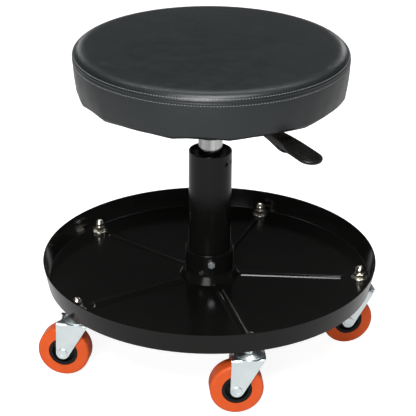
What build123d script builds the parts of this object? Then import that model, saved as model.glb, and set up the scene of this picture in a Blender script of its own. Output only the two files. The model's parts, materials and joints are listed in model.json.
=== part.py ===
from build123d import *
import os
from math import cos, radians, sin, tan

# Mechanic stool: a round padded seat on a gas lift, over a tool tray that rolls on five castors.
# Millimetres. The origin is on the floor under the column, +Z is up and -Y is the side that is looked at.
# Angles are in degrees, counted from +X towards +Y.

os.makedirs("parts", exist_ok=True)

# Clearances shared by all pieces
running_gap = 0.05    # radial gap of a shaft or slide in its bearing
part_gap = 0.3        # gap between pieces that move past each other
fixed_gap = 0.02      # gap round a piece that is pressed, welded or screwed into another
overrun = 3.0         # how far a cut runs past the face that it opens
edge_break = 0.5      # small rounding of turned and cut edges

# Wheels
wheel_radius = 30.0
tread_width = 22.0
tread_thickness = 13.0
tread_shoulder = 3.5
hub_length = 24.0
hub_rim_width = 4.0
hub_rim_step = 0.4        # how far the hub's rim lies inside the tread's side
hub_dish_depth = 6.0
hub_boss_radius = 8.0
hub_draft = 0.8
sleeve_radius = 4.5
axle_radius = 3.0
axle_head_radius = 5.6
axle_head_height = 1.4
axle_head_round = 0.8
axle_dimple_radius = 3.4
axle_dimple_depth = 0.5

# Castor forks
castor_trail = 15.0
wheel_clearance = 6.5     # from the tread up to the underside of the fork's crown
fork_thickness = 2.0
fork_bend_radius = 2.6
fork_toe_radius = 7.5
fork_rear_reach = 6.6     # how far the crown runs behind the axle
fork_crown_radius = 17.0
fork_crown_reach = 16.8   # from the stem's axis to the crown's front
fork_crown_round = 5.5
fork_leg_reach = 14.8     # from the stem's axis to the top of the leg's slanted front
fork_flare_radius = 3.0   # where the leg's front runs out into the crown
fork_notch_radius = 14.0  # hollow in the crown's rear edge
fork_notch_depth = 4.0

# Castor swivels
kingpin_radius = 4.0
kingpin_head_radius = 7.0
kingpin_head_height = 3.4
castor_ball_radius = 2.0
castor_ball_count = 12
castor_ball_ring_radius = 9.0
race_thickness = 1.5
race_radius = 15.5
race_top_radius = 10.0
race_skirt = 1.6
shoulder_height = 4.9
shoulder_hex_radius = 8.1

# Castor stems and their nuts
stem_radius = 4.0
stem_point = 0.8
stem_in_nut = 9.0
stem_hole_gap = 0.4
washer_radius = 10.0
washer_thickness = 1.6
washer_seat_depth = 0.2   # each washer lies in a shallow flat pressed into the tray's floor
nut_hex_radius = 7.5
nut_hex_height = 5.2
nut_neck_radius = 5.0
nut_neck_height = 0.4
nut_dome_radius = 5.8
nut_bore_depth = 10.5

# Ring of castors: its place in the tray, where it starts, and the way each axle is turned from the Y axis
castor_count = 5
castor_edge_inset = 18.0  # from the tray's rim in to the stems
first_castor_angle = -3.2
castor_yaws = (11.9, 7.0, -6.0, -9.8, 5.1)

# Tool tray
tray_rim_radius = 196.6
tray_wall_lean = 5.0
tray_depth = 25.2
tray_sheet = 1.5
tray_bend_radius = 1.5
tray_rim_round = 0.6
boss_height = 8.5
boss_foot_radius = 35.0
boss_top_radius = 31.0
boss_bend_radius = 2.0
tray_centre_hole = 20.0
rib_width = 11.0
rib_height = 3.0
rib_slope = 35.0
rib_round = 5.0           # over the rib's top, so that it is nearly a full bead
rib_end_gap = 17.3        # from the rib's end to the middle of the castor's nut

# Column and collar
column_radius = 25.0
column_wall = 1.8
column_floor = 3.0
column_floor_hole = 4.4
collar_wall = 3.5
collar_height = 26.5
collar_weld = 0.8
retaining_hole_radius = 2.5
retaining_hole_drop = 11.5
retaining_hole_angles = (-42.4, -17.0)

# Screws in the collar
set_screw_radius = 3.0
set_screw_hex_radius = 4.7
set_screw_turn = 30.0     # its head stands with a corner up
set_screw_head = 4.2
set_screw_height = 16.5   # above the collar's foot
set_screw_angle = -85.3
locating_screw_radius = 2.0
locating_screw_head_radius = 3.3
locating_screw_head = 1.8
locating_screw_height = 4.6
locating_screw_angle = -108.3
collar_screw_count = 2

# Guide bush in the column's mouth
bush_recess = 4.0
bush_length = 55.0
bush_engagement = 29.2    # length that still guides the cylinder when the seat is up
bush_notch_width = 4.0
bush_notch_depth = 3.0
bush_notch_count = 8
bush_rim_width = 4.5

# Thrust bearing under the piston rod
thrust_race_thickness = 1.2
thrust_race_radius = 15.0
thrust_ball_radius = 2.0
thrust_ball_count = 10
thrust_ball_ring_radius = 10.0
cage_thickness = 1.6
cage_width = 7.0

# Piston rod, its clip and its bump stop
rod_radius = 5.0
rod_foot_radius = 4.0
rod_foot_reach = 5.0
rod_spigot_radius = 3.5
rod_rivet_height = 2.0
clip_radius = 8.0
clip_thickness = 1.2
clip_groove_depth = 0.8
clip_mouth = 5.0
bump_stop_radius = 11.0
bump_stop_height = 7.0
piston_length = 10.0
piston_groove = 1.2

# Gas cylinder
lift_travel = 100.0
lift_spare = 1.0
cylinder_radius = 14.0
cylinder_wall = 2.0
cylinder_cap = 2.0
end_guide_length = 14.0
gas_space = 31.2
valve_block_length = 28.8
taper_angle = 1.43
release_pin_radius = 4.0
release_pin_length = 20.0
release_pin_stand = 5.0
release_pin_travel = 3.0

# Socket, lever housing and seat plate
socket_wall = 5.0
socket_length = 33.0
cylinder_head_stand = 1.8   # how far the cylinder stands out of the socket
housing_radius = 48.0
housing_wall = 2.0
housing_bend_radius = 4.0
housing_floor_drop = 5.0    # from the socket's top down to the housing's underside
plate_margin = 15.0         # from the bolts to the plate's edges
plate_thickness = 2.5
plate_corner = 14.0
plate_clearance = 2.4       # over the lever rod
bolt_square_width = 120.0
bolt_radius = 3.0
bolt_hex_radius = 5.6
bolt_head_height = 4.0
bolt_flange_radius = 6.5
bolt_flange_height = 1.0
bolt_hole_gap = 0.3
nut_flange_radius = 9.5
nut_flange_thickness = 1.2
nut_barrel_radius = 3.9
nut_barrel_length = 9.0
bolt_tip_gap = 1.5          # from the bolt's tip up to the board's top

# Lever
lever_angle = -52.0
lever_slope = 7.0
lever_rod_radius = 4.5
lever_inner_reach = 6.0     # how far the rod runs past the column's axis
lever_bend_reach = 2.0      # from the housing's wall out to the bend
lever_bend_radius = 30.0
pivot_inset = 13.0          # from the housing's wall in to the pivot
pivot_radius = 2.0
pivot_head_radius = 3.4
pivot_head_height = 1.0
lug_thickness = 2.0
lug_length = 12.0
lug_top_gap = 2.5           # from the lug's top up to the seat plate
lever_slot_gap = 1.0
paddle_start = 86.0
paddle_end = 190.0
paddle_rod_depth = 30.0
grip_width = 15.0
grip_height = 12.7
grip_round = 4.0
grip_end = 114.0
knee_start = 128.0
knee_end = 135.0
knee_width = 19.5
knee_height = 17.0
knee_round = 6.0
knee_drop = 2.4             # how far the knee's middle hangs under the grip's
blade_start = 150.0
blade_width = 25.0
blade_height = 6.0
blade_round = 2.4
dish_depth = 1.6
dish_width = 17.0
dish_length = 34.0
dish_slope = 60.0

# Seat
board_inset = 10.0          # from the seat's widest line in to the board's edge
board_thickness = 12.0
board_round = 2.0
cover_thickness = 1.2
hem_width = 20.0
seat_height = 58.2
seat_radius = 156.0
crown_rise = 4.0
shoulder_width = 13.0
seam_height = 45.4          # above the seat's underside
seam_depth = 0.9
seam_half_width = 0.9
seat_waist_inset = 0.5      # the band's bulge against its straight line
seat_foot_inset = 3.6
seat_corner_width = 6.5
seat_corner_height = 7.0
seat_corner_share = 0.3

# Heights, counted up from the floor
crown_bottom = 2 * wheel_radius + wheel_clearance
crown_top = crown_bottom + fork_thickness
castor_ball_height = crown_top + running_gap + castor_ball_radius
race_inner_top = castor_ball_height + castor_ball_radius + running_gap
race_top = race_inner_top + race_thickness
castor_height = race_top + shoulder_height
tray_floor = castor_height + tray_sheet
washer_seat = tray_floor - washer_seat_depth
nut_bottom = washer_seat + washer_thickness
tray_rim = castor_height + tray_depth
boss_top = tray_floor + boss_height
column_floor_top = boss_top + column_floor
thrust_ball_height = column_floor_top + thrust_race_thickness + running_gap + thrust_ball_radius
upper_race_bottom = thrust_ball_height + thrust_ball_radius + running_gap
rod_shoulder = upper_race_bottom + thrust_race_thickness
cylinder_bottom = rod_shoulder + bump_stop_height + part_gap
piston_bottom = cylinder_bottom + end_guide_length + lift_travel + lift_spare
valve_block_bottom = piston_bottom + piston_length + gas_space
cylinder_top = valve_block_bottom + valve_block_length + cylinder_cap
column_top = cylinder_bottom + lift_travel + bush_engagement + bush_recess
socket_top = cylinder_top - cylinder_head_stand
socket_bottom = socket_top - socket_length
housing_bottom = socket_top - housing_floor_drop
lever_height = cylinder_top + release_pin_stand + part_gap + lever_rod_radius
plate_bottom = lever_height + lever_rod_radius + plate_clearance
board_bottom = plate_bottom + plate_thickness
board_top = board_bottom + board_thickness
seat_bottom = board_bottom - cover_thickness
seat_top = seat_bottom + seat_height

# Places and widths that follow from the pieces round them
castor_ring_radius = tray_rim_radius - castor_edge_inset
plate_size = bolt_square_width + 2 * plate_margin
board_radius = seat_radius - board_inset
hem_inner_radius = board_radius - hem_width
pivot_place = housing_radius - pivot_inset
lever_bend_place = housing_radius + lever_bend_reach
fork_inner_half = hub_length / 2 + part_gap
fork_outer_half = fork_inner_half + fork_thickness
hub_radius = wheel_radius - tread_thickness
column_bore = column_radius - column_wall
collar_bore = column_radius + fixed_gap
collar_radius = column_radius + collar_wall
cylinder_bore = cylinder_radius - cylinder_wall
socket_radius = cylinder_radius + socket_wall
cylinder_top_radius = cylinder_radius - (cylinder_top - socket_bottom) * tan(radians(taper_angle))


def upright_plane(angle, x=0, y=0):
    """Upright plane through a point on the floor, with its own X along the given angle and its Y up."""
    turn = radians(angle)
    return Plane(origin=(x, y, 0), x_dir=(cos(turn), sin(turn), 0), z_dir=(sin(turn), -cos(turn), 0))


def outward_plane(angle, radius, height):
    """Upright plane that faces away from the column's axis at the given radius and height."""
    turn = radians(angle)
    return Plane(
        origin=(radius * cos(turn), radius * sin(turn), height),
        x_dir=(-sin(turn), cos(turn), 0),
        z_dir=(cos(turn), sin(turn), 0),
    )


def castor_angle(index):
    """Angle of a castor's stem round the column."""
    return first_castor_angle + index * 360 / castor_count


# Tray: pressed dish with a raised boss in the middle and a rib towards each castor
wall_run = tray_wall_lean * tray_sheet / tray_depth
rim_inner = tray_rim_radius - tray_sheet
bottom_outer = tray_rim_radius - tray_wall_lean
bottom_inner = bottom_outer - tray_sheet + wall_run
with BuildPart() as tray:
    with BuildSketch(Plane.XZ) as tray_section:
        with BuildLine():
            Polyline(
                (tray_centre_hole, boss_top),
                (boss_top_radius, boss_top),
                (boss_foot_radius, tray_floor),
                (bottom_inner, tray_floor),
                (rim_inner, tray_rim),
                (tray_rim_radius, tray_rim),
                (bottom_outer, castor_height),
                (boss_foot_radius - tray_sheet, castor_height),
                (boss_top_radius - tray_sheet, boss_top - tray_sheet),
                (tray_centre_hole, boss_top - tray_sheet),
                close=True,
            )
        make_face()
        corners = tray_section.vertices()
        fillet(corners.sort_by_distance((bottom_inner, tray_floor))[0], radius=tray_bend_radius)
        fillet(corners.sort_by_distance((bottom_outer, castor_height))[0], radius=tray_bend_radius + tray_sheet)
        boss_corners = [
            corners.sort_by_distance((boss_top_radius, boss_top))[0],
            corners.sort_by_distance((boss_foot_radius, tray_floor))[0],
            corners.sort_by_distance((boss_foot_radius - tray_sheet, castor_height))[0],
            corners.sort_by_distance((boss_top_radius - tray_sheet, boss_top - tray_sheet))[0],
        ]
        fillet(boss_corners, radius=boss_bend_radius)
        rim_corners = [
            corners.sort_by_distance((rim_inner, tray_rim))[0],
            corners.sort_by_distance((tray_rim_radius, tray_rim))[0],
        ]
        fillet(rim_corners, radius=tray_rim_round)
    revolve(axis=Axis.Z)
    rib_start = boss_foot_radius - tray_sheet
    rib_end = castor_ring_radius - rib_end_gap
    rib_length = rib_end - rib_start
    rib_middle = (rib_start + rib_end) / 2
    with BuildSketch(Plane.XY.offset(tray_floor)):
        with PolarLocations(rib_middle, castor_count, start_angle=first_castor_angle):
            SlotOverall(rib_length, rib_width)
    extrude(amount=rib_height, taper=rib_slope)
    rib_top = tray_floor + rib_height
    fillet(tray.edges().filter_by_position(Axis.Z, rib_top - fixed_gap, rib_top + fixed_gap), radius=rib_round)
    with BuildSketch(Plane.XY.offset(castor_height)):
        with PolarLocations(rib_middle, castor_count, start_angle=first_castor_angle):
            SlotOverall(rib_length - 2 * tray_sheet, rib_width - 2 * tray_sheet)
    extrude(amount=rib_height, taper=rib_slope, mode=Mode.SUBTRACT)
    with BuildSketch(Plane.XY.offset(castor_height)):
        with PolarLocations(castor_ring_radius, castor_count, start_angle=first_castor_angle):
            Circle(stem_radius + stem_hole_gap)
    extrude(amount=tray_sheet, mode=Mode.SUBTRACT)
    with BuildSketch(Plane.XY.offset(washer_seat)):
        with PolarLocations(castor_ring_radius, castor_count, start_angle=first_castor_angle):
            Circle(washer_radius + part_gap)
    extrude(amount=washer_seat_depth, mode=Mode.SUBTRACT)
tray.part.label = "tray"
export_step(tray.part, "parts/tray.step")

# Collar: short socket welded on the boss, which clamps the foot of the column
with BuildPart() as column_collar:
    with BuildSketch(Plane.XY.offset(boss_top)):
        Circle(collar_radius)
        Circle(collar_bore, mode=Mode.SUBTRACT)
    extrude(amount=collar_height)
    fillet(column_collar.edges().group_by(Axis.Z)[-1].sort_by(SortBy.RADIUS)[-1], radius=2 * edge_break)
    with BuildSketch(Plane.XZ):
        with BuildLine():
            Polyline(
                (collar_radius - collar_weld, boss_top),
                (collar_radius + collar_weld, boss_top),
                (collar_radius - collar_weld, boss_top + 2 * collar_weld),
                close=True,
            )
        make_face()
    revolve(axis=Axis.Z)
    for screw in range(collar_screw_count):
        turn = screw * 360 / collar_screw_count
        with BuildSketch(outward_plane(set_screw_angle + turn, 0, boss_top + set_screw_height)):
            Circle(set_screw_radius + fixed_gap)
        extrude(amount=collar_radius + overrun, mode=Mode.SUBTRACT)
        with BuildSketch(outward_plane(locating_screw_angle + turn, 0, boss_top + locating_screw_height)):
            Circle(locating_screw_radius + fixed_gap)
        extrude(amount=collar_radius + overrun, mode=Mode.SUBTRACT)
column_collar.part.label = "column_collar"
export_step(column_collar.part, "parts/column_collar.step")

# Column: outer tube of the gas lift, with a closed foot that the piston rod's end goes through
with BuildPart() as column_tube:
    with BuildSketch(Plane.XY.offset(boss_top)):
        Circle(column_radius)
    extrude(amount=column_top - boss_top)
    with BuildSketch(Plane.XY.offset(column_floor_top)):
        Circle(column_bore)
    extrude(amount=column_top - column_floor_top, mode=Mode.SUBTRACT)
    fillet(column_tube.edges().group_by(Axis.Z)[-1], radius=edge_break)
    with BuildSketch(Plane.XY.offset(boss_top)):
        Circle(column_floor_hole)
    extrude(amount=column_floor, mode=Mode.SUBTRACT)
    for angle in retaining_hole_angles:
        with BuildSketch(outward_plane(angle, 0, column_top - retaining_hole_drop)):
            Circle(retaining_hole_radius)
        extrude(amount=column_radius + overrun, mode=Mode.SUBTRACT)
    for screw in range(collar_screw_count):
        turn = screw * 360 / collar_screw_count
        with BuildSketch(outward_plane(locating_screw_angle + turn, column_bore - overrun,
                                       boss_top + locating_screw_height)):
            Circle(locating_screw_radius + fixed_gap)
        extrude(amount=column_wall + 2 * overrun, mode=Mode.SUBTRACT)
column_tube.part.label = "column_tube"
export_step(column_tube.part, "parts/column_tube.step")

# Hex set screws that press on the column through the collar's wall
with BuildPart() as collar_screws:
    for screw in range(collar_screw_count):
        angle = set_screw_angle + screw * 360 / collar_screw_count
        with BuildSketch(outward_plane(angle, column_radius + fixed_gap, boss_top + set_screw_height)):
            Circle(set_screw_radius)
        extrude(amount=collar_wall)
        with BuildSketch(outward_plane(angle, collar_radius, boss_top + set_screw_height)):
            RegularPolygon(set_screw_hex_radius, 6, rotation=set_screw_turn)
        extrude(amount=set_screw_head)
    head_faces = collar_screws.faces().filter_by(GeomType.PLANE)
    outer_faces = [face for face in head_faces if face.center().length > collar_radius + set_screw_head / 2
                   and len(face.edges()) == 6]
    chamfer([edge for face in outer_faces for edge in face.edges()], length=edge_break)
collar_screws.part.label = "collar_screws"
export_step(collar_screws.part, "parts/collar_screws.step")

# Small pan-head screws through the collar and the column's wall
with BuildPart() as locating_screws:
    for screw in range(collar_screw_count):
        angle = locating_screw_angle + screw * 360 / collar_screw_count
        with BuildSketch(outward_plane(angle, column_bore, boss_top + locating_screw_height)):
            Circle(locating_screw_radius)
        extrude(amount=column_wall + collar_wall)
        with BuildSketch(outward_plane(angle, collar_radius, boss_top + locating_screw_height)):
            Circle(locating_screw_head_radius)
        extrude(amount=locating_screw_head, taper=rib_slope / 2)
locating_screws.part.label = "locating_screws"
export_step(locating_screws.part, "parts/locating_screws.step")

# Guide bush: plastic sleeve in the column's mouth, notched round its top rim
bush_top = column_top - bush_recess
with BuildPart() as guide_bush:
    with BuildSketch(Plane.XY.offset(bush_top - bush_length)):
        Circle(column_bore - fixed_gap)
        Circle(cylinder_radius + running_gap, mode=Mode.SUBTRACT)
    extrude(amount=bush_length)
    with BuildSketch(Plane.XY.offset(bush_top - bush_notch_depth)):
        with PolarLocations(column_bore - bush_rim_width / 2, bush_notch_count):
            Rectangle(bush_rim_width, bush_notch_width)
    extrude(amount=bush_notch_depth, mode=Mode.SUBTRACT)
guide_bush.part.label = "guide_bush"
export_step(guide_bush.part, "parts/guide_bush.step")

# Castor stems: thread, hex shoulder, kingpin and riveted head in one forging, one for each castor
with BuildPart() as castor_stems:
    stem_top = nut_bottom + stem_in_nut
    with BuildSketch(Plane.XY.offset(castor_height)):
        with PolarLocations(castor_ring_radius, castor_count, start_angle=first_castor_angle):
            Circle(stem_radius)
    extrude(amount=stem_top - castor_height)
    chamfer(castor_stems.edges().group_by(Axis.Z)[-1], length=stem_point)
    with BuildSketch(Plane.XY.offset(race_top)):
        with PolarLocations(castor_ring_radius, castor_count, start_angle=first_castor_angle):
            RegularPolygon(shoulder_hex_radius, 6)
    extrude(amount=shoulder_height)
    kingpin_bottom = crown_bottom - part_gap - kingpin_head_height
    with BuildSketch(Plane.XY.offset(kingpin_bottom)):
        with PolarLocations(castor_ring_radius, castor_count, start_angle=first_castor_angle):
            Circle(kingpin_radius)
    extrude(amount=race_top - kingpin_bottom)
    with BuildSketch(Plane.XY.offset(kingpin_bottom)):
        with PolarLocations(castor_ring_radius, castor_count, start_angle=first_castor_angle):
            Circle(kingpin_head_radius)
    extrude(amount=kingpin_head_height)
    fillet(castor_stems.edges().group_by(Axis.Z)[0], radius=2 * edge_break)
castor_stems.part.label = "castor_stems"
export_step(castor_stems.part, "parts/castor_stems.step")

# Castor races: pressed cups under the hex shoulders, which cover the balls
race_skirt_bottom = crown_top + part_gap
race_skirt_top = race_skirt_bottom + race_skirt
race_bore = kingpin_radius + fixed_gap
with BuildPart() as castor_races:
    with BuildSketch(Plane.XZ) as race_section:
        with BuildLine():
            Polyline(
                (race_bore, race_top),
                (race_top_radius, race_top),
                (race_radius, race_skirt_top),
                (race_radius, race_skirt_bottom),
                (race_radius - race_thickness, race_skirt_bottom),
                (race_radius - race_thickness, race_skirt_top - race_thickness / 2),
                (race_top_radius, race_inner_top),
                (race_bore, race_inner_top),
                close=True,
            )
        make_face()
    race_cup = revolve(axis=Axis.Z, mode=Mode.PRIVATE)
    with PolarLocations(castor_ring_radius, castor_count, start_angle=first_castor_angle):
        add(race_cup)
castor_races.part.label = "castor_races"
export_step(castor_races.part, "parts/castor_races.step")

# Castor balls: a ring of steel balls between each cup and its fork
with BuildPart() as castor_balls:
    with Locations((0, 0, castor_ball_height)):
        with PolarLocations(castor_ring_radius, castor_count, start_angle=first_castor_angle):
            with PolarLocations(castor_ball_ring_radius, castor_ball_count):
                Sphere(castor_ball_radius)
castor_balls.part.label = "castor_balls"
export_step(castor_balls.part, "parts/castor_balls.step")

# Castor washers: flat rings in their seats on the tray's floor
with BuildPart() as castor_washers:
    with BuildSketch(Plane.XY.offset(washer_seat)):
        with PolarLocations(castor_ring_radius, castor_count, start_angle=first_castor_angle):
            Circle(washer_radius)
        with PolarLocations(castor_ring_radius, castor_count, start_angle=first_castor_angle):
            Circle(stem_radius + fixed_gap, mode=Mode.SUBTRACT)
    extrude(amount=washer_thickness)
    fillet(castor_washers.edges().group_by(Axis.Z)[-1].group_by(SortBy.RADIUS)[-1], radius=edge_break)
castor_washers.part.label = "castor_washers"
export_step(castor_washers.part, "parts/castor_washers.step")

# Castor nuts: hex nuts with a ball-shaped dome
nut_neck_bottom = nut_bottom + nut_hex_height
nut_ball_height = nut_neck_bottom + nut_neck_height + nut_dome_radius / 2
with BuildPart() as castor_nuts:
    with BuildSketch(Plane.XY.offset(nut_bottom)):
        with PolarLocations(castor_ring_radius, castor_count, start_angle=first_castor_angle):
            RegularPolygon(nut_hex_radius, 6)
    extrude(amount=nut_hex_height)
    chamfer(castor_nuts.edges().group_by(Axis.Z)[-1], length=edge_break)
    with BuildSketch(Plane.XY.offset(nut_neck_bottom)):
        with PolarLocations(castor_ring_radius, castor_count, start_angle=first_castor_angle):
            Circle(nut_neck_radius)
    extrude(amount=nut_ball_height - nut_neck_bottom)
    with Locations((0, 0, nut_ball_height)):
        with PolarLocations(castor_ring_radius, castor_count, start_angle=first_castor_angle):
            Sphere(nut_dome_radius)
    with BuildSketch(Plane.XY.offset(nut_bottom)):
        with PolarLocations(castor_ring_radius, castor_count, start_angle=first_castor_angle):
            Circle(stem_radius + fixed_gap)
    extrude(amount=nut_bore_depth, mode=Mode.SUBTRACT)
castor_nuts.part.label = "castor_nuts"
export_step(castor_nuts.part, "parts/castor_nuts.step")

# Castors: each has a fork and an axle with its sleeve, and a wheel of a tread on a hub
for index in range(castor_count):
    number = index + 1
    stem_turn = radians(castor_angle(index))
    stem_x = castor_ring_radius * cos(stem_turn)
    stem_y = castor_ring_radius * sin(stem_turn)
    side = upright_plane(castor_yaws[index], stem_x, stem_y)
    plan = Plane(origin=side.origin, x_dir=side.x_dir, z_dir=(0, 0, 1))
    wheel_centre = side.from_local_coords((-castor_trail, wheel_radius, 0))
    section = Plane(origin=wheel_centre, x_dir=side.z_dir, z_dir=-side.x_dir)
    axle_line = Axis(wheel_centre, side.z_dir)

    # Fork: bent steel channel, with a crown round the stem and legs down to the axle
    fork_rear = -castor_trail - fork_rear_reach
    leg_bottom = wheel_radius - fork_toe_radius
    with BuildPart() as fork:
        with BuildSketch(side) as leg_shape:
            with Locations((-castor_trail, wheel_radius)):
                Circle(fork_toe_radius)
            with Locations((fork_rear, crown_bottom)):
                Rectangle(fork_leg_reach - fork_rear, fork_thickness, align=Align.MIN)
            make_hull()
            with Locations((fork_rear, crown_bottom)):
                Rectangle(fork_crown_reach - fork_rear, fork_thickness, align=Align.MIN)
            flare_corner = leg_shape.vertices().sort_by_distance((fork_leg_reach, crown_bottom))[0]
            fillet(flare_corner, radius=fork_flare_radius)
        extrude(amount=fork_outer_half, both=True)
        along = fork.edges().filter_by(Axis((0, 0, 0), side.x_dir))
        fillet(along.group_by(Axis.Z)[-1], radius=fork_bend_radius)
        with BuildSketch(plan.offset(leg_bottom)):
            RectangleRounded(2 * fork_crown_reach, 2 * fork_outer_half, fork_crown_round)
            Rectangle(castor_trail + fork_toe_radius, 2 * fork_outer_half, align=(Align.MAX, Align.CENTER))
        extrude(amount=crown_top - leg_bottom, mode=Mode.INTERSECT)
        with BuildSketch(plan.offset(crown_bottom)):
            Circle(fork_crown_radius)
        extrude(amount=fork_thickness)
        with BuildSketch(side):
            with Locations((0, leg_bottom - overrun)):
                Rectangle(4 * fork_crown_radius, crown_bottom - leg_bottom + overrun,
                          align=(Align.CENTER, Align.MIN))
        extrude(amount=fork_inner_half, both=True, mode=Mode.SUBTRACT)
        with BuildSketch(plan.offset(crown_bottom)):
            Circle(kingpin_radius + running_gap)
            with Locations((fork_rear + fork_notch_depth - fork_notch_radius, 0)):
                Circle(fork_notch_radius)
        extrude(amount=fork_thickness, mode=Mode.SUBTRACT)
        with BuildSketch(side):
            with Locations((-castor_trail, wheel_radius)):
                Circle(axle_radius + fixed_gap)
        extrude(amount=fork_outer_half, both=True, mode=Mode.SUBTRACT)
    fork.part.label = f"castor_{number}_fork"
    export_step(fork.part, f"parts/castor_{number}_fork.step")

    # Axle: rivet with a low round head outside each leg, dimpled in the middle
    with BuildPart() as axle:
        with BuildSketch(side):
            with Locations((-castor_trail, wheel_radius)):
                Circle(axle_radius)
        extrude(amount=fork_outer_half, both=True)
        for way in (-1, 1):
            with BuildSketch(side.offset(way * fork_outer_half)):
                with Locations((-castor_trail, wheel_radius)):
                    Circle(axle_head_radius)
            extrude(amount=way * axle_head_height)
        head_rims = axle.edges().filter_by(GeomType.CIRCLE).group_by(axle_line)
        fillet(head_rims[0] + head_rims[-1], radius=axle_head_round)
        for way in (-1, 1):
            with BuildSketch(side.offset(way * (fork_outer_half + axle_head_height))):
                with Locations((-castor_trail, wheel_radius)):
                    Circle(axle_dimple_radius)
            extrude(amount=-way * axle_dimple_depth, mode=Mode.SUBTRACT)
    axle.part.label = f"castor_{number}_axle"
    export_step(axle.part, f"parts/castor_{number}_axle.step")

    # Sleeve: steel tube held between the legs, which the hub turns on
    with BuildPart() as sleeve:
        with BuildSketch(side):
            with Locations((-castor_trail, wheel_radius)):
                Circle(sleeve_radius)
                Circle(axle_radius + fixed_gap, mode=Mode.SUBTRACT)
        extrude(amount=fork_inner_half, both=True)
    sleeve.part.label = f"castor_{number}_sleeve"
    export_step(sleeve.part, f"parts/castor_{number}_sleeve.step")

    # Hub: moulded core with a boss, a dished web and a rim
    rim_side = tread_width / 2 - hub_rim_step
    web_side = rim_side - hub_dish_depth
    rim_inner_radius = hub_radius - hub_rim_width
    boss_side = hub_length / 2
    hub_bore = sleeve_radius + running_gap
    with BuildPart() as hub:
        with BuildSketch(section):
            with BuildLine():
                Polyline(
                    (-boss_side, hub_bore),
                    (-boss_side, hub_boss_radius - hub_draft),
                    (-web_side, hub_boss_radius),
                    (-web_side, rim_inner_radius - hub_draft),
                    (-rim_side, rim_inner_radius),
                    (-rim_side, hub_radius - fixed_gap),
                    (rim_side, hub_radius - fixed_gap),
                    (rim_side, rim_inner_radius),
                    (web_side, rim_inner_radius - hub_draft),
                    (web_side, hub_boss_radius),
                    (boss_side, hub_boss_radius - hub_draft),
                    (boss_side, hub_bore),
                    close=True,
                )
            make_face()
        revolve(axis=axle_line)
    hub.part.label = f"castor_{number}_hub"
    export_step(hub.part, f"parts/castor_{number}_hub.step")

    # Tread: polyurethane ring moulded round the hub
    with BuildPart() as tread:
        with BuildSketch(section) as tread_section:
            with Locations((0, hub_radius)):
                Rectangle(tread_width, tread_thickness, align=(Align.CENTER, Align.MIN))
            outer_corners = tread_section.vertices().group_by(Axis.Y)[-1]
            fillet(outer_corners, radius=tread_shoulder)
        revolve(axis=axle_line)
    tread.part.label = f"castor_{number}_tread"
    export_step(tread.part, f"parts/castor_{number}_tread.step")

# Thrust bearing: lower race on the column's floor, balls in a cage, and upper race under the rod's shoulder
with BuildPart() as bearing_lower_race:
    with BuildSketch(Plane.XY.offset(column_floor_top)):
        Circle(thrust_race_radius)
        Circle(column_floor_hole, mode=Mode.SUBTRACT)
    extrude(amount=thrust_race_thickness)
bearing_lower_race.part.label = "bearing_lower_race"
export_step(bearing_lower_race.part, "parts/bearing_lower_race.step")

with BuildPart() as bearing_upper_race:
    with BuildSketch(Plane.XY.offset(upper_race_bottom)):
        Circle(thrust_race_radius)
        Circle(rod_foot_radius + fixed_gap, mode=Mode.SUBTRACT)
    extrude(amount=thrust_race_thickness)
bearing_upper_race.part.label = "bearing_upper_race"
export_step(bearing_upper_race.part, "parts/bearing_upper_race.step")

with BuildPart() as bearing_balls:
    with Locations((0, 0, thrust_ball_height)):
        with PolarLocations(thrust_ball_ring_radius, thrust_ball_count):
            Sphere(thrust_ball_radius)
bearing_balls.part.label = "bearing_balls"
export_step(bearing_balls.part, "parts/bearing_balls.step")

with BuildPart() as bearing_cage:
    with BuildSketch(Plane.XY.offset(thrust_ball_height - cage_thickness / 2)):
        Circle(thrust_ball_ring_radius + cage_width / 2)
        Circle(thrust_ball_ring_radius - cage_width / 2, mode=Mode.SUBTRACT)
        with PolarLocations(thrust_ball_ring_radius, thrust_ball_count):
            Circle(thrust_ball_radius + running_gap, mode=Mode.SUBTRACT)
    extrude(amount=cage_thickness)
bearing_cage.part.label = "bearing_cage"
export_step(bearing_cage.part, "parts/bearing_cage.step")

# Piston rod: foot through the column's floor, shoulder on the upper race, spigot through the piston
rod_bottom = boss_top - rod_foot_reach
clip_top = boss_top - part_gap
clip_bottom = clip_top - clip_thickness
rod_top = piston_bottom + piston_length + rod_rivet_height
with BuildPart() as piston_rod:
    with BuildSketch(Plane.XY.offset(rod_bottom)):
        Circle(rod_foot_radius)
    extrude(amount=rod_shoulder - rod_bottom)
    chamfer(piston_rod.edges().group_by(Axis.Z)[0], length=edge_break)
    with BuildSketch(Plane.XY.offset(clip_bottom - fixed_gap)):
        Circle(rod_foot_radius + overrun)
        Circle(rod_foot_radius - clip_groove_depth, mode=Mode.SUBTRACT)
    extrude(amount=clip_thickness + 2 * fixed_gap, mode=Mode.SUBTRACT)
    with BuildSketch(Plane.XY.offset(rod_shoulder)):
        Circle(rod_radius)
    extrude(amount=piston_bottom - rod_shoulder)
    with BuildSketch(Plane.XY.offset(piston_bottom)):
        Circle(rod_spigot_radius)
    extrude(amount=rod_top - piston_bottom)
    with BuildSketch(Plane.XY.offset(rod_top - rod_rivet_height)):
        Circle(rod_radius)
    extrude(amount=rod_rivet_height)
piston_rod.part.label = "piston_rod"
export_step(piston_rod.part, "parts/piston_rod.step")

# Retaining clip: snapped in the rod's groove under the column's floor
with BuildPart() as retaining_clip:
    with BuildSketch(Plane.XY.offset(clip_bottom)):
        Circle(clip_radius)
        Circle(rod_foot_radius - clip_groove_depth + fixed_gap, mode=Mode.SUBTRACT)
        Rectangle(clip_radius + overrun, clip_mouth, align=(Align.MIN, Align.CENTER), mode=Mode.SUBTRACT)
    extrude(amount=clip_thickness)
retaining_clip.part.label = "retaining_clip"
export_step(retaining_clip.part, "parts/retaining_clip.step")

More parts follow.
